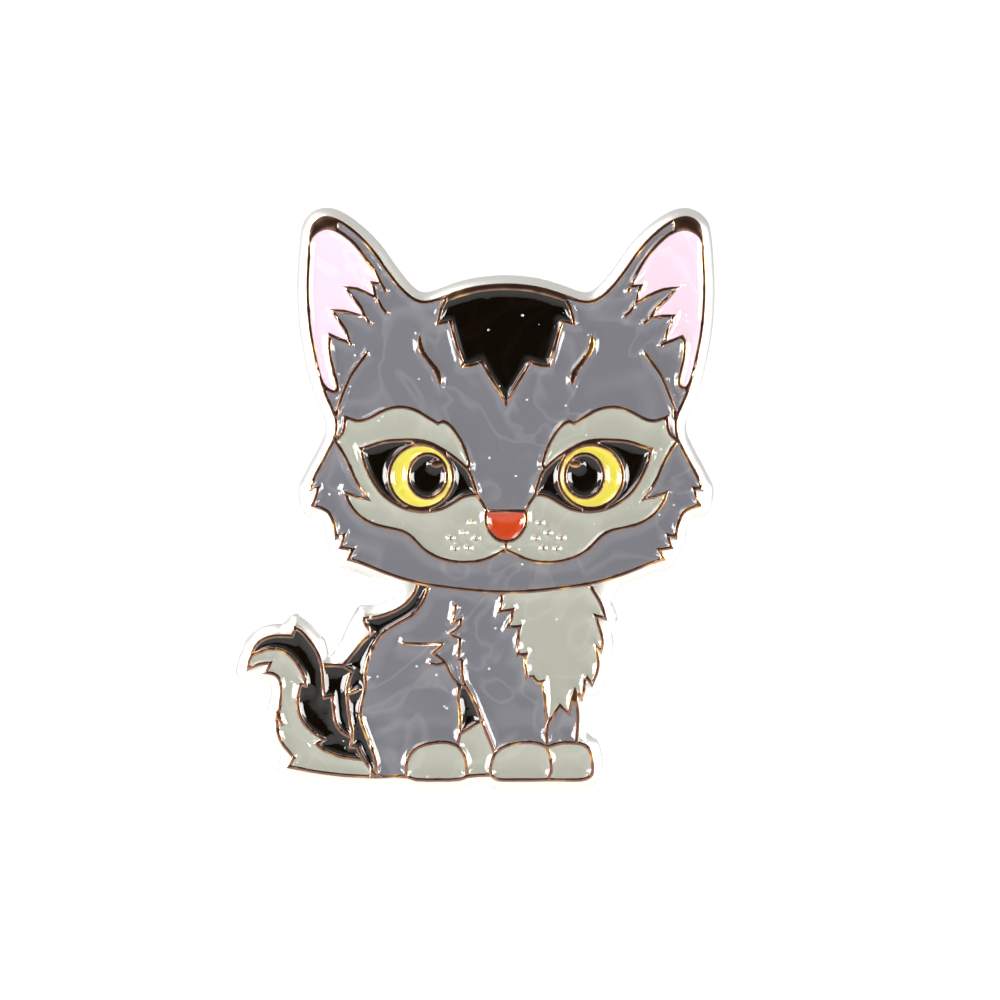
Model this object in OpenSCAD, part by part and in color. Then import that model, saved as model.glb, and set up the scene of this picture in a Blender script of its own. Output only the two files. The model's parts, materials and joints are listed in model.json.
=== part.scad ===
// Soft enamel pin of a sitting kitten: a struck metal plate with raised lines, enamel in the
// pockets between them, two pointed posts on the back and a butterfly clutch on each post. The
// lines are one with the plate on a real pin, and three nodes here: head, body and tail.
//
// The pin stands upright as it is worn. Its face looks towards -Y, its back lies in the plane
// y = 0, +Z is up, and the origin is on the axis of the upper post. The outlines are drawn flat,
// seen from the front, with x to the right and y up, and upright() stands them up.

/* [Artwork] */
// Width of the artwork, from the tip of the tail to the edge of the ear
art_w = 22.8; // [19:0.1:28]
// Height of the artwork, from the paws to the tip of the ear
art_h = 28.1; // [23:0.1:34]

/* [Plate] */
// Metal below the enamel
base_t = 1; // [0.8:0.05:1.6]
// Height of the raised lines above the floor of the pockets
line_h = 0.45; // [0.3:0.05:0.7]
// Width of the raised lines
line_w = 0.2; // [0.15:0.01:0.26]
// Width of the plain rim outside the outline
rim_w = 0.45; // [0.3:0.05:0.7]
// Depth of enamel in the pockets
enamel_t = 0.3; // [0.2:0.05:0.4]

/* [Posts] */
// Diameter of a post
post_d = 1.1; // [0.9:0.05:1.3]
// Length of a post behind the plate, with its point
post_l = 8; // [7:0.1:10]
// Diameter of the foot that sits in the plate's back
foot_d = 3; // [2.4:0.1:3.6]
// Thickness of the foot
foot_t = 0.35; // [0.25:0.05:0.5]
// Length of the point
point_l = 1.3; // [0.9:0.1:1.6]
// Width of the groove that the clutch's springs grip
groove_w = 0.9; // [0.7:0.05:1.1]
// Depth of that groove
groove_depth = 0.1; // [0.05:0.01:0.15]

/* [Clutches] */
// Gap between the plate and a clutch, which the cloth takes
cloth_gap = 2.2; // [2.1:0.1:2.8]
// Diameter of the cap
cap_d = 9.5; // [7.9:0.1:11.4]
// Thickness of the sheet that the cap is pressed from
cap_t = 0.3; // [0.2:0.05:0.4]
// Depth of the cap's turned edge
cap_edge_h = 0.7; // [0.5:0.05:1]
// Thickness of the spring sheet
sheet_t = 0.2; // [0.16:0.01:0.25]
// Width of the spring
spring_w = 4; // [3.4:0.1:4.8]
// Span of the spring between its two bends
spring_span = 6; // [5:0.1:6.6]
// Height of the wings above the cap
wing_h = 4.2; // [3.6:0.1:5]
// Gap all round a post inside a clutch
clutch_clear = 0.12; // [0.1:0.01:0.2]

/* [Hidden] */

// The size that the outlines below are drawn at
drawn_w = 22.8;
drawn_h = 28.1;
// How far a straight piece of an outline may lie from its curve
max_bulge = 0.007;
// Extra length of a cut beyond the face that it starts from
over = 0.1;
$fn = 48;

// Places of the posts on the artwork
upper_at = [0, 0];
lower_at = [-1.4, -11.5];
// Gap between the lines of the head and those of the body
lines_gap = 0.02;
// Gap round a post's foot in the plate, and width of the solder round its root
foot_clear = 0.03;
solder_w = 0.4;

clutch_hole_r = post_d / 2 + clutch_clear;
// Radius of the cap's turned edge
edge_r = 0.45;
// Middle radii of the two bends, so that one arm passes over the other
bend_low = 0.42;
bend_high = 0.64;
// Degrees left open between a bend and the spring's flat, which a squeeze takes up
bend_gap = 16;
// Distance from the post at which a wing rises
wing_foot = 1.15;
// Width of the arm that passes through the other, the gap on each side of it and its way
arm_w = clutch_hole_r * 2 + 0.6;
arm_clear = 0.15;
wing_window_to = wing_foot + 1.05;
// The groove is at the arms
groove_at = cloth_gap + cap_t + bend_low * 2 - 0.05;

grey_fur = "#7F7E84";
pale_fur = "#B6B7AA";
black = "#120C06";
ear_pink = "#FFEBF6";
eye_yellow = "#F2E25E";
nose_red = "#B72D10";
nickel = "#C9C9CC";
brass = "#C9A55A";

// ---- Outlines ----
// Each is a closed loop, or a path for a stroke, along the middle of the raised lines. A point
// is smooth unless its third number makes it a corner: 1 for a tip, 2 for a corner that the
// outer rim passes by. A 3 is a smooth point that the rim passes by, and a 4 is on the rim only.

// Right half of the head, from the middle of the crown to the chin
crown = [[0, 7.75], [1.5, 7.62], [2.5, 7.36], [3.4, 7.02], [4, 6.88], [4.55, 7], [5.1, 7.42],
    [5.6, 7.98], [6.1, 8.65]];
ear_top = [[6.5, 9.25], [7, 9.85], [7.6, 10.42], [8.2, 10.85], [8.8, 11.1], [9.3, 11.05], [9.65, 10.7]];
ear_edge = [[9.78, 10.1], [9.86, 9.2], [9.92, 8.1], [9.92, 7.1], [9.83, 5.8], [9.7, 4.9],
    [9.52, 4], [9.3, 3.1]];
cheek = [[9.02, 2.25], [8.7, 1.55], [8.52, 1.05], [8.5, 0.5], [8.62, 0], [8.86, -0.5], [9.12, -1],
    [9.4, -1.5], [9.65, -2], [9.85, -2.5, 1], [9.38, -2.38, 2], [9.5, -2.8, 3], [9.68, -3.25, 1],
    [9.2, -3.42], [8.88, -3.62], [8.68, -4], [8.54, -4.45], [8.5, -4.88, 1], [8.05, -4.7, 2],
    [8.16, -5.02, 3], [8.28, -5.38, 1], [7.66, -5.48, 2], [7.88, -5.95, 1]];
chin = [[7.3, -6.12], [6.5, -6.45], [5.5, -6.83], [4.4, -7.14, 3], [3.5, -7.3], [2.5, -7.43],
    [1.25, -7.56], [0, -7.6]];
head_side = concat(crown, ear_top, ear_edge, cheek, chin);

// Pink inside the ears, drawn for the right side, with tufts of fur reaching in
tufts_right = [[9.05, 2.62], [8.8, 2.6], [8.66, 2.8], [8.72, 3.3], [8.88, 3.95], [8.95, 4.5],
    [8.95, 4.9], [8.8, 5.15, 1], [8.35, 4.97], [7.86, 4.78, 1], [8.08, 5.45], [8.4, 6.2, 1],
    [7.8, 6.18], [7.15, 6.03, 1], [7.45, 6.5], [8, 7.02], [8.66, 7.64, 1], [7.9, 7.52], [7.1, 7.18],
    [6.45, 6.75, 1], [6.6, 7.2], [6.75, 7.7, 1], [6.2, 7.66, 1], [6.55, 8.35], [7, 9.1],
    [7.5, 9.7], [8, 10.17], [8.5, 10.46], [9.1, 10.55]];
tufts_left = [[9.1, 2.7], [8.78, 2.44], [8.46, 2.44], [8.44, 2.75], [8.6, 3.35], [8.77, 4.05],
    [8.85, 4.6], [8.8, 5.25, 1], [8.3, 5.02], [7.8, 4.85, 1], [8, 5.45], [8.35, 5.98],
    [8.75, 6.5, 1], [8.1, 6.43], [7, 6.1, 1], [7.25, 6.62], [7.62, 7.1], [8.1, 7.65, 1],
    [7.45, 7.55], [6.45, 7.05, 1], [6.58, 7.45], [6.7, 7.87, 1], [6.2, 7.78, 1], [6.55, 8.45],
    [7, 9.05], [7.5, 9.73], [7.95, 10.14], [8.45, 10.47], [9.1, 10.6]];
stubs_right = [[[6.2, 7.66], [6.1, 7.35]], [[6.45, 6.75], [6.2, 6.4], [5.9, 6.15]],
    [[7.15, 6.03], [6.85, 5.8]], [[7.86, 4.78], [7.72, 4.7]]];
stubs_left = [[[6.2, 7.78], [6, 7.38]], [[6.45, 7.05], [6.2, 6.6], [5.95, 6.3]],
    [[7, 6.1], [6.8, 5.8]], [[7.8, 4.85], [7.7, 4.7]]];
ear_base = [[6.88, 4.45], [7.2, 4], [7.5, 3.6], [7.8, 3.15], [8, 2.7], [8.2, 2.2], [8.36, 1.75],
    [8.5, 1.05]];

// Black mark on the forehead, right half. The metal above it is wider than a line.
patch_side = [[0, 7.6], [1.5, 7.47], [3, 7.02, 1], [3.22, 6.6], [3.45, 5.75, 1], [3.1, 5.88],
    [2.78, 5.93, 1], [2.62, 5.3], [2.42, 4.55], [2.15, 3.7, 1], [1.75, 3.72], [1.2, 3.9, 1],
    [0.9, 3.35], [0.45, 2.6], [0, 1.8, 1]];
// The tip of an ear beyond this corner is plain metal
ear_tip = [8.4, 9.9];
// Curved metal mark beside the forehead
brow_mark = [[4.3, 5.4, 1], [4.44, 4.95], [4.38, 4.5], [4.15, 4.1], [3.85, 3.72], [3.58, 3.3],
    [3.43, 2.9], [3.3, 2.62, 1], [3.18, 2.95], [3.24, 3.32], [3.42, 3.65], [3.72, 4], [4, 4.38],
    [4.15, 4.75], [4.22, 5.1]];

// Pale fur round an eye and on the muzzle, with a straight way back through the eye
mask_side = [[1.84, -1.3], [1.9, -0.95], [2.05, -0.48], [2.25, -0.05], [2.5, 0.35], [2.8, 0.72],
    [3.15, 0.92], [3.4, 0.82, 1], [3.85, 1.08], [4.35, 1.4], [4.9, 1.6], [5.5, 1.64], [6.1, 1.48],
    [6.6, 1.22], [7.05, 1], [7.5, 0.95], [8.05, 1.15, 1], [8.08, 0.7], [8.22, 0.28], [8.56, -0.04, 1],
    [8.3, -0.42], [8.03, -0.88], [7.8, -1.35], [7.6, -1.85], [7.35, -2.3], [6.8, -3.03, 1],
    [7.45, -2.83], [8.08, -2.57, 1], [7.92, -3], [7.65, -3.45], [7.3, -3.82], [6.9, -4.08],
    [6.4, -4.28], [5.8, -4.42], [5.25, -4.54], [4.8, -4.78], [4.5, -5.08], [4.15, -5.44],
    [3.7, -5.74], [3.15, -5.97], [2.55, -6.1], [1.95, -6.12], [1.35, -6.06], [0.8, -5.88],
    [0, -5.5, 1], [0, -4.6, 1], [0.98, -3.55, 1], [1.15, -3.2], [1.45, -2.76, 1], [2.6, -2, 1]];

// Eye: the lids, and the places of the iris and the pupil
lids = [[7.28, -0.45, 1], [6.75, -0.28], [6.1, -0.08], [5.5, -0.02], [5, 0], [4.4, -0.02],
    [3.9, -0.12], [3.4, -0.35], [2.9, -0.65], [2.4, -1.02], [2.05, -1.34], [1.84, -1.6],
    [1.65, -2.05], [1.5, -2.5], [1.45, -2.76, 1], [1.8, -2.75], [2.25, -2.9], [2.7, -3.18],
    [3.2, -3.44], [3.8, -3.57], [4.35, -3.58], [4.9, -3.48], [5.4, -3.28], [5.85, -3], [6.3, -2.6],
    [6.68, -2.05], [6.95, -1.5], [7.15, -0.95]];
iris_at = [4.25, -1.83];
iris_r = 1.6;
pupil_at = [3.92, -1.8];
pupil_r = [0.97, 1.1];
glint_at = [3.48, -1.2];
glint_r = [0.3, 0.19];
// Distance from the iris's middle that keeps the two dark corners of the eye apart
lid_gap = 0.45;

// Nose, right half, and the dots of the whiskers
nose_side = [[0, -3.55], [0.98, -3.55, 1], [1.03, -3.95], [0.95, -4.35], [0.68, -4.78], [0.35, -5.02],
    [0, -5.07]];
whiskers = [[1.7, -4.15], [2.1, -4.66], [1.5, -4.94], [2.76, -4.92], [1.88, -5.42], [2.54, -5.46]];
whisker_r = [0.07, 0.12];

// Body. The lines that two shapes share are written once.
bib_edge = [[4.15, -7.2, 2], [4.4, -7.6, 3], [4.66, -8.02], [4.86, -8.45], [5.02, -8.98, 1],
    [4.42, -8.72, 2], [4.6, -9.15, 3], [4.75, -9.6], [4.84, -10.1], [4.78, -10.65, 1],
    [4.42, -10.15, 2], [4.54, -10.6, 3], [4.62, -11.1], [4.54, -11.65], [4.3, -12.28, 1],
    [4.04, -11.8, 2], [3.92, -12.2, 3], [3.87, -12.6], [3.8, -13.02, 1], [3.45, -12.45, 2]];
bib_foot = [[3.32, -12.85], [3.22, -13.3], [3.18, -13.78, 1], [2.7, -13.3, 1], [2.48, -13.6],
    [2.08, -14.25, 1]];
bib_back = [[-0.15, -7.6, 1], [-0.25, -8.1], [-0.32, -8.6, 1], [0.35, -8.48, 1], [0.28, -8.9],
    [0.05, -9.38, 1], [0.68, -9.33, 1], [0.6, -9.9], [0.6, -10.75, 1], [1, -10.72, 1], [0.97, -11.25],
    [1.05, -11.87, 1], [1.35, -11.84, 1], [1.58, -12.14, 1], [1.86, -12.08, 1], [1.93, -12.7],
    [1.98, -13.4], [2.08, -14.25, 1]];
near_leg = [[2.04, -14.7], [2.05, -15.36, 1]];
far_leg_edge = [[3.56, -13.3, 3], [3.6, -14], [3.56, -14.6], [3.5, -15.15, 1]];
far_paw_top = [[3.5, -15.15, 1], [2.95, -15.13], [2.45, -15.22], [2.05, -15.36, 1]];
far_paw_out = [[3.85, -15.22], [4.15, -15.45], [4.28, -15.85], [4.33, -16.3], [4.28, -16.72],
    [3.95, -16.95]];
far_paw_foot = [[3.5, -17], [2.6, -17], [2.1, -16.98, 1]];
paw_join = [[2.05, -15.36, 1], [2.18, -15.75], [2.26, -16.2], [2.24, -16.6], [2.1, -16.98, 1]];
front_paw_top = [[2.05, -15.36, 1], [1.7, -15.2], [1.2, -15.12], [0.65, -15.15], [0.15, -15.26],
    [-0.25, -15.42], [-0.55, -15.68, 1]];
front_paw_foot = [[1.5, -17], [0.2, -17], [-0.45, -16.97]];
front_paw_side = [[-0.55, -15.68, 1], [-0.7, -16.02], [-0.78, -16.4], [-0.76, -16.75, 1]];
back_paw_side = [[-2.42, -15.3, 1], [-2.12, -15.7], [-1.97, -16.2], [-1.95, -16.82, 1]];
back_paw_foot = [[-2.35, -16.97], [-3.4, -17], [-4.5, -16.98]];
back_paw_top = [[-4.98, -16.82, 1], [-4.98, -16.2], [-4.75, -15.68], [-4.4, -15.38], [-3.9, -15.2],
    [-3.4, -15.12], [-2.9, -15.13], [-2.42, -15.3, 1]];
// Left and right sides of the gap between the legs, from the top
haunch_edge = [[-2.3, -12.3, 1], [-2.4, -12.8], [-2.32, -13.4], [-2.28, -14.1], [-2.32, -14.7, 1]];
haunch_foot = [[-2.32, -14.7, 1], [-2.42, -15.3, 1]];
leg_edge = [[-1.98, -12.35, 1], [-1.72, -12.8], [-1.5, -13.3], [-1.22, -14, 1]];
leg_foot = [[-1.22, -14, 1], [-0.95, -14.7], [-0.72, -15.25], [-0.55, -15.68, 1]];
gap_floor = [[-2.32, -14.7, 1], [-1.85, -14.42], [-1.22, -14, 1]];
paws_foot = [[-0.76, -16.75, 1], [-1.35, -16.76], [-1.95, -16.82, 1]];

// Back and tail
spine = [[-4.4, -7.14, 2], [-4.62, -7.72, 3], [-5, -8.17], [-5.5, -8.5], [-6.05, -8.72], [-6.55, -8.86],
    [-7.12, -8.92, 1], [-6.98, -9.3, 3], [-6.68, -9.62, 2], [-7.2, -10.12, 3], [-7.7, -10.75, 3],
    [-8.15, -11.28, 2]];
stripe_edge = [[-6.5, -16.84, 1], [-6.5, -16.3], [-6.58, -15.85], [-6.72, -15.45], [-6.87, -15.05],
    [-7.05, -14.6], [-7.2, -14.2], [-7.28, -13.8], [-7.24, -13.35], [-7.13, -12.85], [-7.03, -12.4],
    [-7.02, -12.05], [-7.04, -11.7], [-6.98, -11.3], [-6.85, -10.85], [-6.65, -10.4], [-6.45, -10.02],
    [-6.2, -9.7], [-5.8, -9.42], [-5.3, -9.12], [-4.82, -8.86], [-4.42, -8.5], [-4.1, -8],
    [-3.82, -7.25, 1]];
rump = [[-7.7, -11.52, 1], [-7.82, -11.9], [-7.93, -12.35], [-7.95, -12.75], [-7.9, -13.25],
    [-7.87, -13.65], [-7.78, -14.1], [-7.7, -14.5], [-7.7, -14.88, 1]];
rump_foot = [[-7.7, -14.88, 1], [-7.76, -15.34, 1], [-7.42, -15.36, 1], [-7.3, -15.65], [-7.12, -15.98, 1]];
tail_root = [[-7.12, -15.98, 1], [-6.9, -16.28], [-6.5, -16.84, 1]];
tail_top = [[-12.74, -10.78, 1], [-12.62, -10.42], [-12.3, -10.07], [-11.9, -9.87], [-11.45, -9.8],
    [-11.05, -9.8], [-10.72, -9.82, 2], [-10.55, -9.4, 1], [-10.25, -9.57], [-9.95, -9.9], [-9.63, -10.32],
    [-9.38, -10.76, 3], [-9.22, -11.24, 2]];
tail_inner = [[-9.22, -11.24, 1], [-9.16, -11.75], [-9.13, -12.3], [-9.07, -12.88, 1], [-8.68, -12.8, 1],
    [-8.62, -13.35], [-8.56, -13.9], [-8.42, -14.33], [-8.15, -14.64], [-7.7, -14.88, 1]];
tail_seam = [[-7.12, -15.98, 1], [-7.6, -15.93], [-8.15, -15.86], [-8.7, -15.7], [-9.15, -15.48],
    [-9.5, -15.2, 1], [-9.05, -14.99, 1], [-9.5, -14.72], [-9.92, -14.38], [-10.2, -14],
    [-10.36, -13.55], [-10.42, -13.05], [-10.38, -12.6], [-10.28, -12.22, 1], [-10.02, -12.27, 1],
    [-10.06, -11.95], [-10.2, -11.6], [-10.42, -11.22], [-10.68, -10.9], [-10.95, -10.67],
    [-11.25, -10.52], [-11.6, -10.46], [-12, -10.5], [-12.35, -10.62], [-12.74, -10.78, 1]];
tail_under = [[-12.88, -11.1], [-12.9, -11.46, 1], [-12.35, -11.22, 3], [-11.74, -11.12, 2],
    [-11.88, -11.38, 3], [-12.08, -11.64, 1], [-11.68, -11.68], [-11.42, -11.84], [-11.28, -12.15],
    [-11.25, -12.6], [-11.3, -13.1], [-11.32, -13.45, 3], [-11.52, -13.76, 1], [-11.44, -14.15],
    [-11.42, -14.5], [-11.32, -14.92], [-11.08, -15.33], [-10.8, -15.66], [-10.6, -15.9, 2],
    [-10.85, -16.34, 1], [-10.3, -16.44], [-9.7, -16.56], [-9, -16.66], [-8.2, -16.75], [-7.35, -16.81]];

// Strokes that end inside the fur
thigh = [[-5.2, -10.18], [-3.2, -10.18, 1], [-3.34, -10.44], [-3.66, -10.66, 1], [-3.35, -10.88],
    [-3.05, -11.15], [-2.85, -11.55], [-2.62, -11.95], [-2.3, -12.3]];
thigh_fork = [[-3.08, -11.17], [-3.5, -11.24], [-3.82, -11.16]];
shoulder = [[-2.5, -8.2], [-2.57, -8.65], [-2.74, -9.18, 1], [-2.48, -9.07], [-2.2, -8.88, 1],
    [-2.3, -9.3], [-2.52, -9.54], [-2.85, -9.68, 1], [-2.6, -9.84], [-2.3, -9.97, 1], [-2.32, -10.3],
    [-2.4, -10.95, 1], [-2.2, -11.05, 1], [-2.2, -11.5], [-2.14, -12], [-1.98, -12.35]];
rump_stub = [[-7.95, -12.68], [-7.62, -12.6], [-7.3, -12.45]];
tail_stub = [[-11.38, -13.6], [-11.3, -13.95], [-11.15, -14.3]];

// ---- Functions on outlines ----
function kind(p) = len(p) > 2 ? p[2] : 0;
function xy(p) = [p[0], p[1]];
function at(list, i) = list[(i + len(list)) % len(list)];
function unit(v) = v / norm(v);
function right_of(v) = [v[1], -v[0]];
function total(v) = v * [for (x = v) 1];
function backwards(list) = [for (i = [len(list) - 1:-1:0]) list[i]];
function mirrored(list) = [for (p = backwards(list)) [-p[0], p[1], kind(p)]];
function side(list, s) = s > 0 ? list : mirrored(list);
// A loop from its right half, which starts and ends on the middle line
function both_sides(half) = concat(half,
    [for (i = [len(half) - 2:-1:1]) [-half[i][0], half[i][1], kind(half[i])]]);
// The drawn outline at the size of this pin
function art(list) = [for (p = list) [p[0] * art_w / drawn_w, p[1] * art_h / drawn_h, kind(p)]];
// A loop joined from paths, without the points that two of them share
function joined(list) = [for (i = [0:len(list) - 1])
    if (norm(xy(list[i]) - xy(at(list, i - 1))) > 0.01) list[i]];
function anticlockwise(list) =
    total([for (i = [0:len(list) - 1]) cross(xy(list[i]), xy(at(list, i + 1)))]) > 0
        ? list : backwards(list);

// A point moved outwards by d, square to both its edges. A corner that would grow into a
// spike is kept blunt.
function moved(a, p, c, d) =
    let (b = xy(p), u = unit(b - xy(a)), v = unit(xy(c) - b), n = right_of(u) + right_of(v),
        spread = 1 + u * v, least = cross(u, v) * d > 0 ? 0.7 : 0.12, q = b + d * n / max(spread, least))
    [q[0], q[1], kind(p)];
function grown(list, d) =
    let (loop = anticlockwise(joined(list)))
    [for (i = [0:len(loop) - 1]) moved(at(loop, i - 1), loop[i], at(loop, i + 1), d)];

// A smooth curve through the points, with straight-sided corners
function leaving(loop, i) =
    unit(xy(at(loop, i + 1)) - xy(at(loop, kind(at(loop, i)) % 3 > 0 ? i : i - 1)));
function arriving(loop, i) =
    unit(xy(at(loop, kind(at(loop, i)) % 3 > 0 ? i : i + 1)) - xy(at(loop, i - 1)));
function between(a, b, u, v, t) =
    let (s = norm(b - a))
    a * (2 * t * t * t - 3 * t * t + 1) + b * (3 * t * t - 2 * t * t * t)
        + u * s * (t * t * t - 2 * t * t + t) + v * s * (t * t * t - t * t);
// Each stretch is cut into as many straight pieces as keep within max_bulge of the curve
function pieces(p, q, u, v) =
    let (bulge = norm(xy(q) - xy(p)) * acos(max(-1, min(1, u * v))) * PI / 180 / 8)
    max(1, ceil(sqrt(bulge / max_bulge)));
function curve(loop) = [for (i = [0:len(loop) - 1])
    let (p = loop[i], q = at(loop, i + 1), u = leaving(loop, i), v = arriving(loop, i + 1),
        n = pieces(p, q, u, v))
    for (k = [0:n - 1]) between(xy(p), xy(q), u, v, k / n)];

// A pocket inside a loop of lines, and the wall round it that cuts a larger pocket
function cell(loop) = curve(grown(art(loop), -line_w / 2));
function island(loop) = curve(grown(art(loop), line_w / 2));
// The outline of a strip of width w along an open path
function ribbon(p, w) =
    let (n = len(p) - 1, before = 2 * xy(p[0]) - xy(p[1]), after = 2 * xy(p[n]) - xy(p[n - 1]))
    curve([for (s = [1, -1]) for (j = [0:n])
        let (i = s > 0 ? j : n - j, last = i == 0 || i == n,
            q = moved(i > 0 ? p[i - 1] : before, p[i], i < n ? p[i + 1] : after, s * w / 2))
        [q[0], q[1], last ? 1 : kind(p[i])]]);
function stroke(path) = ribbon(art(path), line_w);
function oval(c, r, n = 40) =
    let (m = xy(art([c])[0]))
    [for (k = [0:n - 1]) m + [r[0] * cos(360 * k / n), r[1] * sin(360 * k / n)]];
function box(x0, x1, y0, y1) = [for (p = art([[x0, y0], [x1, y0], [x1, y1], [x0, y1]])) xy(p)];
function on(s, p) = [s * p[0], p[1]];
function part_of(path, x0, x1) = [for (p = path) if (p[0] > x0 && p[0] < x1) p];

// ---- Loops ----
head = both_sides(head_side);
forehead = both_sides(patch_side);
nose_loop = both_sides(nose_side);
function ear(s) = side(concat(ear_edge, s > 0 ? tufts_right : tufts_left), s);
function mask(s) = side(mask_side, s);
function eye(s) = side(lids, s);

bib_loop = concat(bib_edge, bib_foot, backwards(bib_back), backwards(part_of(chin, 0.5, 4.1)));
far_leg_loop = concat(far_leg_edge, far_paw_top, backwards(near_leg),
    backwards(part_of(bib_foot, 2, 3.3)), [[3.4, -13.05, 1]]);
paw_far_loop = concat(backwards(far_paw_top), far_paw_out, far_paw_foot, backwards(paw_join));
paw_front_loop = concat(paw_join, front_paw_foot, backwards(front_paw_side), backwards(front_paw_top));
paw_back_loop = concat(back_paw_top, back_paw_side, back_paw_foot);
leg_gap_dark_loop = concat(haunch_edge, gap_floor, backwards(leg_edge));
leg_gap_light_loop = concat(haunch_foot, back_paw_side, backwards(paws_foot),
    backwards(front_paw_side), backwards(leg_foot), backwards(gap_floor));
stripe_loop = concat(spine, rump, rump_foot, tail_root, stripe_edge, part_of(mirrored(chin), -4.4, -3.82));
tail_dark_loop = concat(tail_top, tail_inner, rump_foot, tail_seam);
tail_gap_loop = concat([[-8.15, -11.28, 1]], rump, backwards(tail_inner));
tail_light_loop = concat(tail_under, backwards(tail_root), tail_seam);
body_loop = concat(backwards(part_of(mirrored(chin), -3.8, -0.2)), bib_back, near_leg, front_paw_top,
    backwards(leg_foot), backwards(leg_edge), haunch_edge, haunch_foot, backwards(back_paw_top),
    stripe_edge);
silhouette = concat(crown, ear_top, ear_edge, cheek, part_of(chin, 4.3, 9), bib_edge, far_leg_edge,
    far_paw_out, far_paw_foot, front_paw_foot, paws_foot, back_paw_foot, [[-4.98, -16.82]],
    [[-6.5, -16.84]], backwards(tail_under), tail_top, [[-8.84, -12.1, 4]], backwards(spine),
    part_of(mirrored(chin), -9, -4.5), mirrored(cheek), mirrored(ear_edge), mirrored(ear_top),
    mirrored([for (p = crown) if (p[0] > 0) p]));

// ---- Enamel fills: the outline of each pocket and what stands up in it ----
fur_islands = concat(
    [for (s = [1, -1]) for (loop = [mask(s), eye(s), ear(s)]) island(loop)],
    [island(nose_loop), island(forehead)],
    [for (s = [1, -1]) [for (p = box(ear_tip[0], 12, ear_tip[1], 13)) on(s, p)]],
    [for (s = [1, -1]) curve(art(side(brow_mark, s)))],
    [for (s = [1, -1]) for (path = concat([ear_base], s > 0 ? stubs_right : stubs_left))
        stroke(side(path, s))]);
// The fur of the head is two pockets: the tips of the pale mask reach its outline
mask_tip = -0.05;
bridge_w = 2.2;
bridge_foot = -3.9;
fur_crown_fill = [cell(head), concat(fur_islands, [box(-12, -bridge_w, -9, mask_tip),
    box(bridge_w, 12, -9, mask_tip), box(-3, 3, -9, bridge_foot)])];
fur_cheeks_fill = [cell(head), concat(fur_islands, [box(-12, 12, mask_tip, 12),
    box(-bridge_w, bridge_w, bridge_foot, 1)])];
forehead_fill = [cell(forehead), []];
function ear_fill(s) = [cell(ear(s)), []];
function mask_fill(s) = [cell(mask(s)), concat([island(eye(s)), island(nose_loop)],
    [for (w = whiskers) oval(on(s, w), whisker_r, 12)])];
function iris_fill(s) = [oval(on(s, iris_at), (iris_r - line_w / 2) * [1, 1]),
    [oval(on(s, pupil_at), pupil_r + line_w / 2 * [1, 1])]];
function pupil_fill(s) = [oval(on(s, pupil_at), pupil_r - line_w / 2 * [1, 1]),
    [oval(on(s, glint_at), glint_r)]];
// The dark of the eye on the iris's outer side (d = 1) or inner side (d = -1)
function eye_fill(s, d) = [cell(eye(s)), [oval(on(s, iris_at), (iris_r + line_w / 2) * [1, 1]),
    let (x = s * iris_at[0], t = s * d) box(x - (t > 0 ? 8 : lid_gap), x + (t > 0 ? lid_gap : 8), -6, 3)]];
nose_fill = [cell(nose_loop), []];
body_fill = [cell(body_loop), [for (path = [thigh, thigh_fork, shoulder]) stroke(path)]];
leg_gap_dark_fill = [cell(leg_gap_dark_loop), []];
leg_gap_light_fill = [cell(leg_gap_light_loop), []];
bib_fill = [cell(bib_loop), []];
far_leg_fill = [cell(far_leg_loop), []];
paw_back_fill = [cell(paw_back_loop), []];
paw_front_fill = [cell(paw_front_loop), []];
paw_far_fill = [cell(paw_far_loop), []];
stripe_fill = [cell(stripe_loop), [stroke(rump_stub)]];
tail_dark_fill = [cell(tail_dark_loop), []];
tail_gap_fill = [cell(tail_gap_loop), []];
tail_light_fill = [cell(tail_light_loop), [stroke(tail_stub)]];
head_fills = concat([fur_crown_fill, fur_cheeks_fill, forehead_fill, nose_fill],
    [for (s = [1, -1]) each [ear_fill(s), mask_fill(s), iris_fill(s), pupil_fill(s),
        eye_fill(s, 1), eye_fill(s, -1)]]);
body_fills = [body_fill, leg_gap_dark_fill, leg_gap_light_fill, bib_fill, far_leg_fill,
    paw_back_fill, paw_front_fill, paw_far_fill, stripe_fill];
tail_fills = [tail_dark_fill, tail_gap_fill, tail_light_fill, stripe_fill, body_fill];

// The plate's outline, its rim, and the loops that part the lines of the tail and of the head
// from those of the body. The last two are on both sides of the neck.
outline = curve(grown(art([for (p = silhouette) if (kind(p) < 4) p]), line_w / 2));
rim = curve(grown(art([for (p = silhouette) if (kind(p) < 2 || kind(p) > 3) xy(p)]),
    rim_w + line_w / 2));
tail_box = box(-16, -6.8, -19, -8);
head_box = curve(grown(art(head), line_w / 2 + lines_gap));
neck = [4.4, -7.24];
neck_boxes = [box(neck[0], 16, neck[1], 16), box(-16, -neck[0], neck[1], 16)];

// ---- Drawing ----
module upright() { rotate([90, 0, 0]) children(); }
module flat(fill) {
    difference() {
        polygon(fill[0]);
        for (wall = fill[1]) polygon(wall);
    }
}
module enamel(fill) {
    upright() translate([0, 0, base_t]) linear_extrude(enamel_t) flat(fill);
}
module raised_lines(fills) {
    upright() translate([0, 0, base_t]) linear_extrude(line_h) difference() {
        children();
        for (fill = fills) flat(fill);
    }
}

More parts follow.
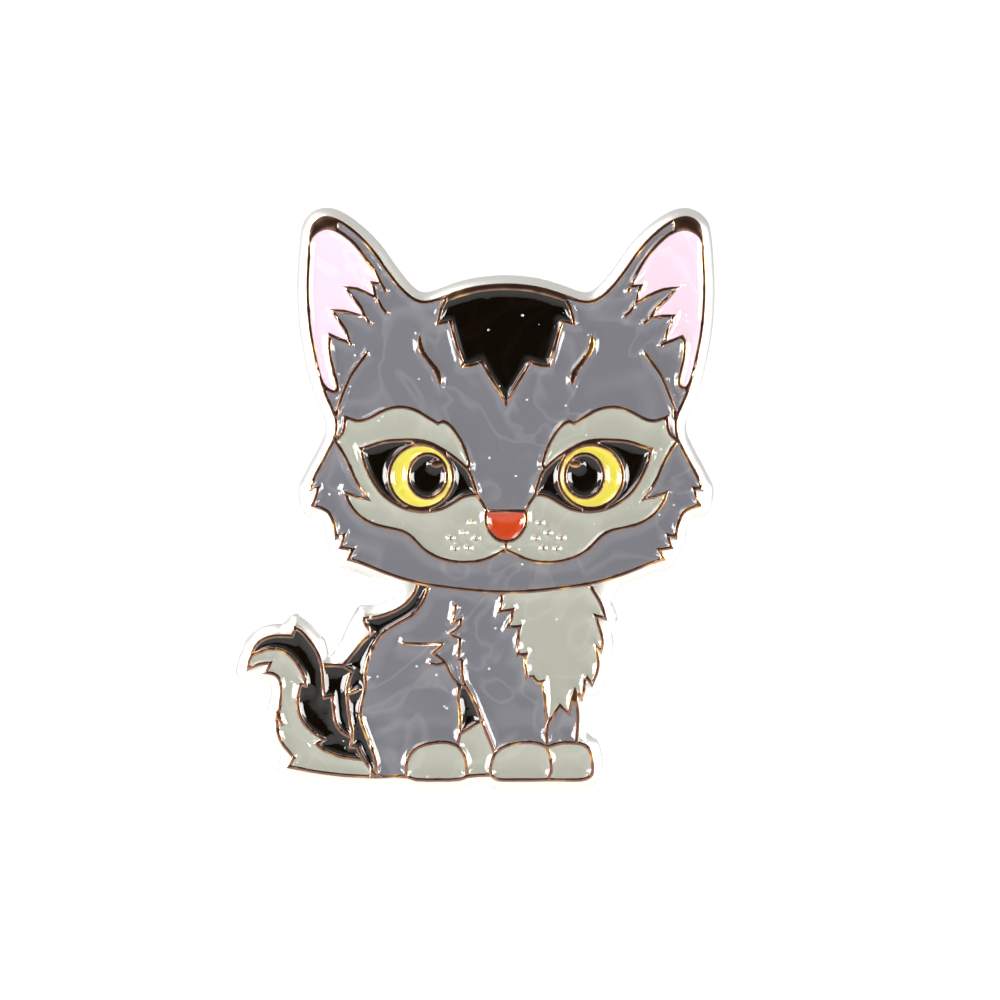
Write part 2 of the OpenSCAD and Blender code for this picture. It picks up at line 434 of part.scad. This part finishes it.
module base_plate() {
    color(nickel) upright() difference() {
        linear_extrude(base_t) polygon(rim);
        for (place = [upper_at, lower_at]) translate(xy(art([place])[0])) translate([0, 0, -over])
            cylinder(h = foot_t + over, r = foot_d / 2 + foot_clear);
    }
}
module raised_lines_head() { color(nickel) raised_lines(head_fills) polygon(island(head)); }
module raised_lines_body() {
    color(nickel) raised_lines(body_fills) difference() {
        polygon(outline);
        for (cut = concat([head_box, tail_box], neck_boxes)) polygon(cut);
    }
}
module raised_lines_tail() {
    color(nickel) raised_lines(tail_fills) intersection() {
        polygon(outline);
        polygon(tail_box);
    }
}
module fur_crown() { color(grey_fur) enamel(fur_crown_fill); }
module fur_cheeks() { color(grey_fur) enamel(fur_cheeks_fill); }
module forehead_patch() { color(black) enamel(forehead_fill); }
module ear_pink(s) { color(ear_pink) enamel(ear_fill(s)); }
module mask_enamel(s) { color(pale_fur) enamel(mask_fill(s)); }
module iris(s) { color(eye_yellow) enamel(iris_fill(s)); }
module pupil(s) { color(black) enamel(pupil_fill(s)); }
module eye_corner(s, d) { color(black) enamel(eye_fill(s, d)); }
module nose() { color(nose_red) enamel(nose_fill); }
module body_fur() { color(grey_fur) enamel(body_fill); }
module leg_gap_dark() { color(black) enamel(leg_gap_dark_fill); }
module leg_gap_light() { color(pale_fur) enamel(leg_gap_light_fill); }
module bib() { color(pale_fur) enamel(bib_fill); }
module far_leg() { color(grey_fur) enamel(far_leg_fill); }
module paw_back() { color(pale_fur) enamel(paw_back_fill); }
module paw_front() { color(pale_fur) enamel(paw_front_fill); }
module paw_far() { color(pale_fur) enamel(paw_far_fill); }
module back_stripe() { color(black) enamel(stripe_fill); }
module tail_dark() { color(black) enamel(tail_dark_fill); }
module tail_gap() { color(black) enamel(tail_gap_fill); }
module tail_light() { color(pale_fur) enamel(tail_light_fill); }

// What turns round a post's axis is drawn as half a section, with its height behind the plate
module behind(place, lift = 0) {
    upright() translate(xy(art([place])[0])) mirror([0, 0, 1]) translate([0, 0, lift]) children();
}
function arc(c, r, a0, a1, n = 8) = [for (k = [0:n])
    let (a = a0 + (a1 - a0) * k / n)
    c + r * [cos(a), sin(a)]];

module post(place) {
    r = post_d / 2;
    tip_r = 0.12;
    shoulder_at = post_l - point_l;
    color(nickel) behind(place) rotate_extrude() polygon(concat(
        [[0, -foot_t], [foot_d / 2, -foot_t], [foot_d / 2, 0], [r, 0]],
        [[r, groove_at], [r - groove_depth, groove_at + groove_depth],
            [r - groove_depth, groove_at + groove_w - groove_depth], [r, groove_at + groove_w]],
        [[r, shoulder_at]], arc([0, post_l - tip_r], tip_r, 15, 90)));
}
module solder(place) {
    color(nickel) behind(place) rotate_extrude() polygon(concat(
        [[post_d / 2, 0], [post_d / 2 + solder_w, 0]],
        arc([post_d / 2 + solder_w, solder_w], solder_w, -90, -180)));
}
module clutch_cap(place) {
    r = cap_d / 2;
    color(brass) behind(place, cloth_gap) rotate_extrude() polygon(concat(
        [[clutch_hole_r, 0]], arc([r - edge_r, edge_r], edge_r, -90, 0),
        [[r, cap_edge_h], [r - cap_t, cap_edge_h]],
        arc([r - edge_r, edge_r], edge_r - cap_t, 0, -90), [[clutch_hole_r, cap_t]]));
}
module clutch_spring(place) {
    color(brass) behind(place, cloth_gap + cap_t) difference() {
        translate([-spring_span / 2, -spring_w / 2, 0]) cube([spring_span, spring_w, sheet_t]);
        translate([0, 0, -over]) cylinder(h = sheet_t + 2 * over, r = clutch_hole_r);
    }
}
// A wing is one end of the spring: a bend, an arm that crosses over the post and the part that
// fingers squeeze. It is drawn with its bend on the left and turned for the other side.
function wing_path(bend_r) =
    let (level = sheet_t / 2 + 2 * bend_r)
    concat(arc([-spring_span / 2, sheet_t / 2 + bend_r], bend_r, 270 - bend_gap, 90, 6),
        [[wing_foot - 0.3, level], [wing_foot, level + 0.12], [wing_foot + 0.15, level + 0.5],
            [wing_foot + 0.45, wing_h - 1.1], [wing_foot + 0.95, wing_h - 0.4], [wing_foot + 1.6, wing_h]]);
module wing(place, turn, bend_r, width, window) {
    color(brass) behind(place, cloth_gap + cap_t) rotate([0, 0, turn]) difference() {
        translate([0, width / 2, 0]) rotate([90, 0, 0]) linear_extrude(width)
            polygon(ribbon(wing_path(bend_r), sheet_t));
        translate([0, 0, bend_r]) cylinder(h = 2 * bend_r + sheet_t, r = clutch_hole_r);
        if (window > 0) translate([-wing_window_to, -window / 2, bend_r * 1.5])
            cube([wing_window_to, window, bend_r]);
    }
}
module clutch_wing_a(place) { wing(place, 0, bend_low, arm_w, 0); }
module clutch_wing_b(place) { wing(place, 180, bend_high, spring_w, arm_w + 2 * arm_clear); }

base_plate();
raised_lines_head();
raised_lines_body();
raised_lines_tail();
fur_crown();
fur_cheeks();
forehead_patch();
ear_pink(-1);  // ear_pink_left
ear_pink(1);  // ear_pink_right
mask_enamel(-1);  // mask_left
mask_enamel(1);  // mask_right
iris(-1);  // iris_left
iris(1);  // iris_right
pupil(-1);  // pupil_left
pupil(1);  // pupil_right
eye_corner(-1, 1);  // eye_outer_left
eye_corner(1, 1);  // eye_outer_right
eye_corner(-1, -1);  // eye_inner_left
eye_corner(1, -1);  // eye_inner_right
nose();
body_fur();
leg_gap_dark();
leg_gap_light();
bib();
far_leg();
paw_back();
paw_front();
paw_far();
back_stripe();
tail_dark();
tail_gap();
tail_light();
post(upper_at);  // post_upper
post(lower_at);  // post_lower
solder(upper_at);  // solder_upper
solder(lower_at);  // solder_lower
clutch_cap(upper_at);  // clutch_cap_upper
clutch_cap(lower_at);  // clutch_cap_lower
clutch_spring(upper_at);  // clutch_spring_upper
clutch_spring(lower_at);  // clutch_spring_lower
clutch_wing_a(upper_at);  // clutch_wing_a_upper
clutch_wing_b(upper_at);  // clutch_wing_b_upper
clutch_wing_a(lower_at);  // clutch_wing_a_lower
clutch_wing_b(lower_at);  // clutch_wing_b_lower
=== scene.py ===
# %% [markdown]
# # A soft enamel pin of a sitting kitten
# A soft enamel pin is a struck metal plate whose raised lines part it into pockets. Each pocket is
# filled with one colour of enamel, which dries a little below the lines. On the back are two posts
# and two butterfly clutches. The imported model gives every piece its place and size, so this lesson
# only gives them the surfaces, edges and finishes that the real ones have.

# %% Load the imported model
import json
import math

import bmesh
import bpy
import numpy as np
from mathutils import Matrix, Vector, geometry, noise


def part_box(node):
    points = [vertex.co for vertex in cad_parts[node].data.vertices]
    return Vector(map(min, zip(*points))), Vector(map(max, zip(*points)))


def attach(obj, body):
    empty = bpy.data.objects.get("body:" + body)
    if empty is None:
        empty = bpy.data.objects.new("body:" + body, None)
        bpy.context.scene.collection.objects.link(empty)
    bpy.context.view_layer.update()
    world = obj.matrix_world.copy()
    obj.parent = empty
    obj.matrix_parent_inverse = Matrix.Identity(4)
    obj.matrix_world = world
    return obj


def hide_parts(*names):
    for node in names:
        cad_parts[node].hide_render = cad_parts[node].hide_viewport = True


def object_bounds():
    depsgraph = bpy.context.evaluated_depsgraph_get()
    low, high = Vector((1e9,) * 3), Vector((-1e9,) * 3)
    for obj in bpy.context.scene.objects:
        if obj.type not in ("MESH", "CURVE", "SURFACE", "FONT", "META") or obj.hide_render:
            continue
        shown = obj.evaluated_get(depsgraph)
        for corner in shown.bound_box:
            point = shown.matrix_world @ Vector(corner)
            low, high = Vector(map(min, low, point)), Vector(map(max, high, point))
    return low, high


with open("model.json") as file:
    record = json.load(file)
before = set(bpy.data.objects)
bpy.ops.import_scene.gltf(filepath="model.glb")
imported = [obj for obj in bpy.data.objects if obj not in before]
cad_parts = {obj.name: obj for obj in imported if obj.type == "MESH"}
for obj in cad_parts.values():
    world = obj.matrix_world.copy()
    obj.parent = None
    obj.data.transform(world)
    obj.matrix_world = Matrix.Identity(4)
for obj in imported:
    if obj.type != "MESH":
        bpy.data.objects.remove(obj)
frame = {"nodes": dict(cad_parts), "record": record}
cad_low, cad_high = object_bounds()
MM = 0.001
print("model box in mm:", [round(v / MM, 2) for v in (*cad_low, *cad_high)])

# %% [markdown]
# ## The camera
# The pin is seen square from the front, so the camera looks along +Y with a long lens. Its distance
# follows from the width that the view takes in at the plate.

# %% Camera
SENSOR_MM = 36
LENS_MM = 100
VIEW_W = 50 * MM
VIEW_MIDDLE = Vector((-0.3 * MM, 0, -3 * MM))
plate_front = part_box("raised_lines_head")[0][1]
distance = VIEW_W * LENS_MM / SENSOR_MM
bpy.ops.object.camera_add(
    location=VIEW_MIDDLE + Vector((0, plate_front - distance, 0)), rotation=(math.pi / 2, 0, 0))
camera = bpy.context.object
camera.data.lens = LENS_MM
camera.data.sensor_width = SENSOR_MM
camera.data.clip_start = 0.01
bpy.context.scene.camera = camera
print("camera is", round(distance / MM, 1), "mm from the plate")

# %% [markdown]
# ## Light
# A small glossy object is lit by what it mirrors. Flat metal and flat enamel mirror whatever is
# straight in front, which is the dark, warm side of the room where the viewer stands: that turns
# the polished tops of the lines brown and keeps the black enamel black. Whatever slopes, such as
# the rim, the bevels and the enamel near a wall, mirrors the bright walls to the left and right. A
# near softbox at the left makes that side of the face lighter. The room is brighter in a mirror
# than as light on matt colour, and the world that the camera itself sees is plain white.

# %% Helpers for nodes and colours
def linear(code):
    """A colour's linear values, from its sRGB hex code."""
    channels = [int(code[i:i + 2], 16) / 255 for i in (0, 2, 4)]
    return [c / 12.92 if c <= 0.04045 else ((c + 0.055) / 1.055) ** 2.4 for c in channels] + [1]


def add(tree, kind, settings=None, **inputs):
    """Adds a node, sets its settings, and links or sets its inputs. A socket's number is _0, _1."""
    node = tree.nodes.new(kind)
    for name, value in (settings or {}).items():
        setattr(node, name, value)
    for name, value in inputs.items():
        key = int(name[1:]) if name[0] == "_" else name.replace("_", " ")
        if isinstance(value, bpy.types.NodeSocket):
            tree.links.new(value, node.inputs[key])
        else:
            node.inputs[key].default_value = value
    return node


def ramp(tree, value, *stops):
    """A colour ramp from (position, hex colour) stops."""
    node = add(tree, "ShaderNodeValToRGB", Fac=value)
    while len(node.color_ramp.elements) < len(stops):
        node.color_ramp.elements.new(0.5)
    for element, (position, code) in zip(node.color_ramp.elements, stops):
        element.position = position
        element.color = linear(code)
    return node.outputs["Color"]


# %% World
world = bpy.data.worlds.new("pale_room")
world.use_nodes = True
bpy.context.scene.world = world
tree = world.node_tree
tree.nodes.clear()
direction = add(tree, "ShaderNodeTexCoord").outputs["Generated"]


def towards(x, y, z):
    """How far the direction points along this one: 1 straight along it, 0 square to it."""
    node = add(tree, "ShaderNodeVectorMath", {"operation": "DOT_PRODUCT"}, _0=direction, _1=(x, y, z))
    return node.outputs["Value"]


def stretched(value, low, high):
    return add(tree, "ShaderNodeMapRange", Value=value, From_Min=low, From_Max=high).outputs[0]


height = stretched(towards(-0.6, 0, 0.8), -0.9, 0.9)
walls = ramp(tree, height, (0, "B8B8BA"), (0.5, "EFEFEF"), (1, "FFFFFF"))
aside = stretched(towards(0.08, -0.99, -0.06), 0.93, 0.7)
mixed = add(tree, "ShaderNodeMix", {"data_type": "RGBA"}, _0=aside, _6=linear("3A2C26"), _7=walls)
shade = mixed.outputs["Result"]
matt = add(tree, "ShaderNodeBackground", Color=shade, Strength=0.37)
mirrored = add(tree, "ShaderNodeBackground", Color=shade, Strength=0.85)
glossy = add(tree, "ShaderNodeLightPath").outputs["Is Glossy Ray"]
room = add(tree, "ShaderNodeMixShader", _0=glossy, _1=matt.outputs[0], _2=mirrored.outputs[0])
white = add(tree, "ShaderNodeBackground", Color=(1, 1, 1, 1), Strength=1.05)
seen = add(tree, "ShaderNodeLightPath").outputs["Is Camera Ray"]
both = add(tree, "ShaderNodeMixShader", _0=seen, _1=room.outputs[0], _2=white.outputs[0])
add(tree, "ShaderNodeOutputWorld", Surface=both.outputs[0])
bpy.context.scene.view_settings.view_transform = "Standard"


# %% Softboxes
def softbox(name, place_mm, width_mm, height_mm, watts):
    place = Vector(place_mm) * MM
    bpy.ops.object.light_add(type="AREA", location=place)
    light = bpy.context.object
    light.name = name
    light.data.shape = "RECTANGLE"
    light.data.size = width_mm * MM
    light.data.size_y = height_mm * MM
    light.data.energy = watts
    light.rotation_euler = (place - VIEW_MIDDLE).to_track_quat("Z", "Y").to_euler()
    return light


softbox("key_softbox", (-50, -52, 58), 40, 40, 0.05)
softbox("right_softbox", (110, -90, 20), 60, 60, 0.03)
softbox("back_softbox", (90, 190, 160), 120, 120, 0.3)

# %% [markdown]
# Two wide, low panels stand at the sides for the gloss alone. Enamel that climbs a wall mirrors
# them as the white bands along the left and right of each pocket, and they add nothing to the
# light on matt colour.

# %% Gloss panels
for side, watts in (("left", 0.42), ("right", 0.36)):
    place = (-115 if side == "left" else 115, -105, 4)
    softbox(side + "_gloss_panel", place, 118, 44, watts).visible_diffuse = False

# %% [markdown]
# ## The floor
# The floor is a plain pale sheet, well below the pin so that nothing of it shows behind the art.
# It gives off a little light, which keeps it as white as the room.

# %% Floor
FLOOR_DROP = 14 * MM
bpy.ops.mesh.primitive_plane_add(size=0.5, location=(0, 0, cad_low[2] - FLOOR_DROP))
floor = bpy.context.object
floor.name = "floor"
paper = bpy.data.materials.new("matt_white_paper")
paper.use_nodes = True
shader = paper.node_tree.nodes["Principled BSDF"]
shader.inputs["Base Color"].default_value = linear("F4F4F4")
shader.inputs["Roughness"].default_value = 0.9
shader.inputs["Emission Color"].default_value = linear("FFFFFF")
shader.inputs["Emission Strength"].default_value = 0.6
floor.data.materials.append(paper)

# %% [markdown]
# ## Finishes
# Soft enamel is a pigmented resin that is poured and baked. It is glossy, has a skin that is never
# quite flat, and now and then a speck of dust. Its colour has faint lighter swirls, which are partly
# the random tone of the pigment and partly a painted reflection of light on its wavy skin. One
# function makes it in any colour. Each size below is a real one in millimetres.

# %% Soft enamel
def finish(name):
    material = bpy.data.materials.new(name)
    material.use_nodes = True
    tree = material.node_tree
    return material, tree, tree.nodes["Principled BSDF"], add(tree, "ShaderNodeTexCoord").outputs["Object"]


def per_mm(size):
    """The scale of a pattern whose features are this many millimetres, on coordinates in metres."""
    return 1000 / size


SWIRL_TONE_AND_SHEEN_MM = 4.5
DUST_MM = 1.0
SKIN_MM = 1.1
SKIN_DEPTH = 0.02 * MM
DUST_HEIGHT = 1.5
DUST = "E8E8E4"


def soft_enamel(name, code, swirl_tone_and_sheen_code):
    material, tree, shader, place = finish(name)
    # The lighter swirl colour is partly random tone and partly painted reflection: its thin bands stand in
    # for light mirrored by the skin.
    swirl_tone_and_sheen = add(tree, "ShaderNodeTexNoise", Vector=place, Scale=per_mm(SWIRL_TONE_AND_SHEEN_MM), Detail=2.0,
        Roughness=0.35, Distortion=1.4).outputs["Fac"]
    colour = ramp(tree, swirl_tone_and_sheen, (0.42, code), (0.47, swirl_tone_and_sheen_code), (0.5, code), (0.62, code),
        (0.8, swirl_tone_and_sheen_code))
    dust = add(tree, "ShaderNodeTexVoronoi", Vector=place, Scale=per_mm(DUST_MM)).outputs["Distance"]
    speck = add(tree, "ShaderNodeMapRange", Value=dust, From_Min=0.075, From_Max=0.045).outputs[0]
    mixed = add(tree, "ShaderNodeMix", {"data_type": "RGBA"}, _0=speck, _6=colour, _7=linear(DUST))
    skin = add(tree, "ShaderNodeTexNoise", Vector=place, Scale=per_mm(SKIN_MM), Detail=2.0).outputs["Fac"]
    height = add(tree, "ShaderNodeMath", {"operation": "MULTIPLY_ADD"}, _0=speck, _1=DUST_HEIGHT, _2=skin)
    bump = add(tree, "ShaderNodeBump", Height=height.outputs[0], Strength=0.5, Distance=SKIN_DEPTH)
    tree.links.new(mixed.outputs["Result"], shader.inputs["Base Color"])
    tree.links.new(bump.outputs["Normal"], shader.inputs["Normal"])
    shader.inputs["Roughness"].default_value = 0.06
    shader.inputs["IOR"].default_value = 1.45
    return material


# Each second colour is the lighter swirl colour, partly random tone and partly painted reflection.
enamels = {
    "grey_enamel": soft_enamel("grey_soft_enamel", "7D7C82", "8A898E"),
    "black_enamel": soft_enamel("black_soft_enamel", "0D0804", "140D07"),
    "pale_enamel": soft_enamel("pale_soft_enamel", "B4B5A7", "BBBCAF"),
    "pink_enamel": soft_enamel("pink_soft_enamel", "FBDFEE", "FFE8F6"),
    "yellow_enamel": soft_enamel("yellow_soft_enamel", "EBDC54", "F4E86C"),
    "red_enamel": soft_enamel("red_soft_enamel", "CC4620", "D8552C"),
}


# %% [markdown]
# ### Metals
# The plate is struck zinc with a bright nickel plating, and its back is sandblasted. The tops of
# the raised lines are bright nickel as well, but their colour is a painted reflection: a warm brown
# for the dark side of the room that they mirror, with golden spots that are painted highlights. The
# posts are plated steel wire, and the clutches are pressed from brass strip, with the faint
# lengthwise lines of rolling.

# %% Metals
def metal(name, code, roughness):
    material, tree, shader, place = finish(name)
    shader.inputs["Base Color"].default_value = linear(code)
    shader.inputs["Metallic"].default_value = 1
    shader.inputs["Roughness"].default_value = roughness
    return material, tree, shader, place


def roughened(parts, grain_mm, depth_mm, stretch=(1, 1, 1)):
    """Gives a metal a grain of a real size and depth."""
    material, tree, shader, place = parts
    turned = add(tree, "ShaderNodeMapping", Vector=place, Scale=stretch).outputs[0]
    grain = add(tree, "ShaderNodeTexNoise", Vector=turned, Scale=per_mm(grain_mm), Detail=3.0)
    bump = add(tree, "ShaderNodeBump", Height=grain.outputs["Fac"], Strength=0.6,
        Distance=depth_mm * MM)
    tree.links.new(bump.outputs["Normal"], shader.inputs["Normal"])
    return material


bright_nickel = roughened(metal("bright_nickel_plating", "DAD7D2", 0.3), 0.9, 0.004)
blasted_nickel = roughened(metal("sandblasted_nickel_plating", "B9B7B4", 0.42), 0.16, 0.03)
wire_nickel = roughened(metal("plated_steel_wire", "CFCFD1", 0.2), 0.25, 0.004)
rolled_brass = roughened(metal("rolled_brass_strip", "CFB06C", 0.24), 0.3, 0.006, (0.08, 1, 1))

# The warm brown of the line tops is a painted reflection of the dark room, and the golden spots in it are
# painted highlights.
painted_reflection_parts = metal("burnished_line_tops", "8E6C59", 0.2)
painted_reflection_tops, tree, shader, place = painted_reflection_parts
painted_highlight_noise = add(tree, "ShaderNodeTexNoise", Vector=place, Scale=per_mm(1.3), Detail=4.0).outputs["Fac"]
painted_reflection_colour = ramp(tree, painted_highlight_noise, (0.35, "705448"), (0.55, "8E6C59"), (0.68, "D8A66C"))
tree.links.new(painted_reflection_colour, shader.inputs["Base Color"])
roughened(painted_reflection_parts, 0.3, 0.004)


# %% [markdown]
# ## Pieces
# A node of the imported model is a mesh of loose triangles. For bevels and smooth shading its corners
# have to be one, so each piece is a copy whose doubles are merged. The copy stands for the node and
# moves with its body.

# %% Helpers for pieces
MERGE = 1e-7
FLAT_TURN = 0.1
SOFT_TURN = 35
BEVEL_TURN = 40
slots = {part["node"]: part["material_slot"] for part in frame["record"]["subparts"]}
bodies = {node: body for body, nodes in frame["record"]["behaviour"]["bodies"].items() for node in nodes}


def only(piece):
    bpy.ops.object.select_all(action="DESELECT")
    piece.select_set(True)
    bpy.context.view_layer.objects.active = piece


def copied(node, name, material):
    """A merged copy of a node, which stands for it."""
    source = frame["nodes"][node]
    piece = bpy.data.objects.new(name, source.data.copy())
    bpy.context.collection.objects.link(piece)
    piece.data.materials.clear()
    piece.data.materials.append(material)
    for face in piece.data.polygons:
        face.material_index = 0
    only(piece)
    bpy.ops.mesh.customdata_custom_splitnormals_clear()
    bpy.ops.object.mode_set(mode="EDIT")
    bpy.ops.mesh.select_all(action="SELECT")
    bpy.ops.mesh.remove_doubles(threshold=MERGE)
    bpy.ops.object.mode_set(mode="OBJECT")
    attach(piece, bodies[node])
    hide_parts(node)
    return piece


def smoothed(piece, turn=SOFT_TURN):
    """Shades a piece smooth, apart from edges that turn by more than this many degrees."""
    only(piece)
    bpy.ops.object.shade_smooth_by_angle(angle=math.radians(turn))


def bevelled(piece, width):
    """Dissolves flat faces, rounds the sharp edges, and shades the rest smooth."""
    only(piece)
    bpy.ops.object.mode_set(mode="EDIT")
    bpy.ops.mesh.select_all(action="SELECT")
    bpy.ops.mesh.dissolve_limited(angle_limit=math.radians(FLAT_TURN))
    bpy.ops.object.mode_set(mode="OBJECT")
    edge = piece.modifiers.new("soft_edges", "BEVEL")
    edge.width = width
    edge.segments = 2
    edge.limit_method = "ANGLE"
    edge.angle_limit = math.radians(BEVEL_TURN)
    edge.use_clamp_overlap = False
    bpy.ops.object.modifier_apply(modifier=edge.name)
    smoothed(piece)


# %% [markdown]
# ### Front faces
# No front face of the pin is flat up to its edge. The rim is rounded over, the lines have a soft
# edge all along, and poured enamel climbs the walls of its pocket. A bevel modifier trips over the
# many narrow tips here, so each front face is laid again as a fine net: its outline, rows of
# points a set distance inside it, and a grid over the rest. Each point's depth then follows from
# its distance to the edge.

# %% Distances and insides
def nearest(points, starts, ends):
    """The distance from each point to the nearest of some segments."""
    best = np.full(len(points), np.inf)
    for a, b in zip(starts, ends):
        along = b - a
        t = np.clip((points - a) @ along / max(along @ along, 1e-20), 0, 1)
        best = np.minimum(best, np.linalg.norm(points - a - t[:, None] * along, axis=1))
    return best


def within(points, starts, ends):
    """Which points are inside the loops that the segments make, by the even-odd rule."""
    inside = np.zeros(len(points), bool)
    for (ax, az), (bx, bz) in zip(starts, ends):
        if az != bz:
            crosses = (az > points[:, 1]) != (bz > points[:, 1])
            inside ^= crosses & (points[:, 0] < ax + (bx - ax) * (points[:, 1] - az) / (bz - az))
    return inside


# %% The net over a front face
def net(starts, ends, rows, grid):
    """Points inside an outline: rows along its edge and a grid over the rest."""
    normals = np.stack([starts[:, 1] - ends[:, 1], ends[:, 0] - starts[:, 0]], axis=1)
    normals /= np.maximum(np.linalg.norm(normals, axis=1), 1e-12)[:, None]
    kept = []
    for row in rows:
        for side in (row, -row):
            points = np.concatenate([starts + side * normals, (starts + ends) / 2 + side * normals])
            fits = within(points, starts, ends) & (nearest(points, starts, ends) > 0.9 * row)
            kept.append(points[fits])
    low, high = starts.min(axis=0), starts.max(axis=0)
    xs, zs = np.meshgrid(np.arange(low[0], high[0], grid), np.arange(low[1], high[1], grid))
    zs = zs + 0.5 * grid * (np.arange(zs.shape[1]) % 2)
    points = np.stack([xs.ravel(), zs.ravel()], axis=1)
    fits = within(points, starts, ends) & (nearest(points, starts, ends) > rows[-1] + 0.4 * grid)
    return np.concatenate(kept + [points[fits]])


def relaid(piece, rows, grid, depth, turn):
    """Lays a piece's front face again. depth(x, z, gap) is how far each point lies behind it."""
    mesh = bmesh.new()
    mesh.from_mesh(piece.data)
    front = [f for f in mesh.faces if f.normal.y < -0.9]
    edges = [e for f in front for e in f.edges if sum(g.normal.y < -0.9 for g in e.link_faces) == 1]
    level = front[0].verts[0].co.y
    outline = list({v for e in edges for v in e.verts})
    number = {v: i for i, v in enumerate(outline)}
    flat = np.array([(v.co.x, v.co.z) for v in outline])
    pairs = [(number[e.verts[0]], number[e.verts[1]]) for e in edges]
    starts, ends = flat[[a for a, b in pairs]], flat[[b for a, b in pairs]]
    points = np.concatenate([flat, net(starts, ends, rows, grid)])
    # The triangulation keeps points apart by a fixed distance, so it works in millimetres
    verts, _, faces, *_ = geometry.delaunay_2d_cdt(
        [Vector(p / MM) for p in points], pairs, [], 0, 1e-6)
    verts = np.array([tuple(v) for v in verts]) * MM
    faces = np.array(faces)
    faces = faces[within(verts[faces].mean(axis=1), starts, ends)]
    gaps = nearest(verts, starts, ends)
    bmesh.ops.delete(mesh, geom=front, context="FACES_ONLY")
    new = [mesh.verts.new((x, level + depth(x, z, gap), z)) for (x, z), gap in zip(verts, gaps)]
    for v in outline:
        v.co.y = level + depth(v.co.x, v.co.z, 0)
    for a, b, c in faces:
        mesh.faces.new((new[a], new[c], new[b]))
    bmesh.ops.remove_doubles(mesh, verts=mesh.verts[:], dist=1e-8)
    bmesh.ops.recalc_face_normals(mesh, faces=mesh.faces[:])
    mesh.to_mesh(piece.data)
    mesh.free()
    smoothed(piece, turn)
    return piece


# %% [markdown]
# ### The plate and its lines
# The rim falls away to the outside in one soft round, which is why it shines white all round. Its
# back is sandblasted. The lines have a narrow round along both sides of a flat top, whose brown
# colour is a painted reflection.

# %% Plate and raised lines
RIM_FALL = 0.3 * MM
RIM_ROUND = 0.5 * MM
RIM_SHAPE = 1.6
LINE_ROUND = 0.03 * MM


def rim_depth(x, z, gap):
    return RIM_FALL * (1 - min(1, gap / RIM_ROUND)) ** RIM_SHAPE


def line_depth(x, z, gap):
    left = LINE_ROUND - min(LINE_ROUND, gap)
    return LINE_ROUND - math.sqrt(LINE_ROUND ** 2 - left ** 2)


plate = copied("base_plate", "struck_plate", bright_nickel)
rim_rows = [share * RIM_ROUND for share in (0.05, 0.15, 0.3, 0.5, 0.75, 1)]
relaid(plate, rim_rows, 1 * MM, rim_depth, 50)
line_rows = [share * LINE_ROUND for share in (0.3, 1)]
plate.data.materials.append(blasted_nickel)
for face in plate.data.polygons:
    if face.normal.y > 0.9:
        face.material_index = 1
# Each set of lines gets tops whose brown is a painted reflection with painted golden highlights.
for region in ("head", "body", "tail"):
    lines = copied("raised_lines_" + region, "line_tops_" + region, painted_reflection_tops)
    relaid(lines, line_rows, 0.5 * MM, line_depth, 70)
    lines.data.materials.append(bright_nickel)
    for face in lines.data.polygons:
        if face.normal.y > -0.7:
            face.material_index = 1
    print("raised lines of the", region + ":", len(lines.data.polygons), "faces")

# %% [markdown]
# ### The enamel
# Poured enamel is lowest in the middle of its pocket and climbs the walls, and its skin dries with
# slow waves, which bend what it mirrors.

# %% The shape of an enamel surface
GRID = 0.16 * MM
ROWS = (0.04 * MM, 0.1 * MM, 0.19 * MM, 0.3 * MM)
CLIMB = 0.13 * MM
CLIMB_REACH = 0.16 * MM
WAVE_H = 0.022 * MM
WAVE_L = 2.8 * MM


def enamel_depth(x, z, gap):
    wave = WAVE_H * noise.noise(Vector((x, 0, z)) / WAVE_L)
    calm = min(1, gap / (3 * CLIMB_REACH))
    return -CLIMB * math.exp(-gap / CLIMB_REACH) - calm * wave


def poured(node, material):
    return relaid(copied(node, node + "_enamel", material), ROWS, GRID, enamel_depth, 50)


# %% Pour the enamel
total = 0
for node, slot in slots.items():
    if slot in enamels:
        fill = poured(node, enamels[slot])
        total += len(fill.data.polygons)
print("faces in all enamel:", total)

# %% [markdown]
# ### Posts and clutches
# A post is a turned wire with a point, and solder fills the corner at its root. A butterfly clutch
# is a pressed cap with a rolled edge that holds a strip of spring brass, whose two ends cross over
# the post and stand up as wings. Pressed sheet has small round edges all over.

# %% Posts and solder
for place in ("upper", "lower"):
    for node in ("post_", "solder_"):
        smoothed(copied(node + place, node + place + "_plated", wire_nickel))

# %% Clutches
SHEET_EDGE = 0.045 * MM
for place in ("upper", "lower"):
    smoothed(copied("clutch_cap_" + place, "pressed_cap_" + place, rolled_brass))
    for node in ("clutch_spring_", "clutch_wing_a_", "clutch_wing_b_"):
        bevelled(copied(node + place, node + place + "_strip", rolled_brass), SHEET_EDGE)

# %% [markdown]
# ### Stamped rings on the caps
# A ring is stamped round the hole of each cap to stiffen it. It is a flattened ring that is sunk
# in the cap's inner face, between the spring and the turned edge.

# %% Stamped rings
RING_R = 3.55 * MM
RING_W = 0.16 * MM
RING_FLATTEN = 0.6
for place in ("upper", "lower"):
    low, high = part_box("clutch_cap_" + place)
    middle = ((low[0] + high[0]) / 2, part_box("clutch_spring_" + place)[0][1], (low[2] + high[2]) / 2)
    bpy.ops.object.select_all(action="DESELECT")
    bpy.ops.mesh.primitive_torus_add(major_radius=RING_R, minor_radius=RING_W, major_segments=96,
        minor_segments=12, rotation=(math.pi / 2, 0, 0), location=middle)
    ring = bpy.context.object
    ring.name = "stamped_ring_" + place
    bpy.ops.object.transform_apply(location=False, rotation=True, scale=True)
    ring.scale = (1, RING_FLATTEN, 1)
    bpy.ops.object.transform_apply(location=True, rotation=True, scale=True)
    bpy.ops.object.shade_smooth()
    ring.data.materials.append(rolled_brass)
    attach(ring, "clutch_" + place)
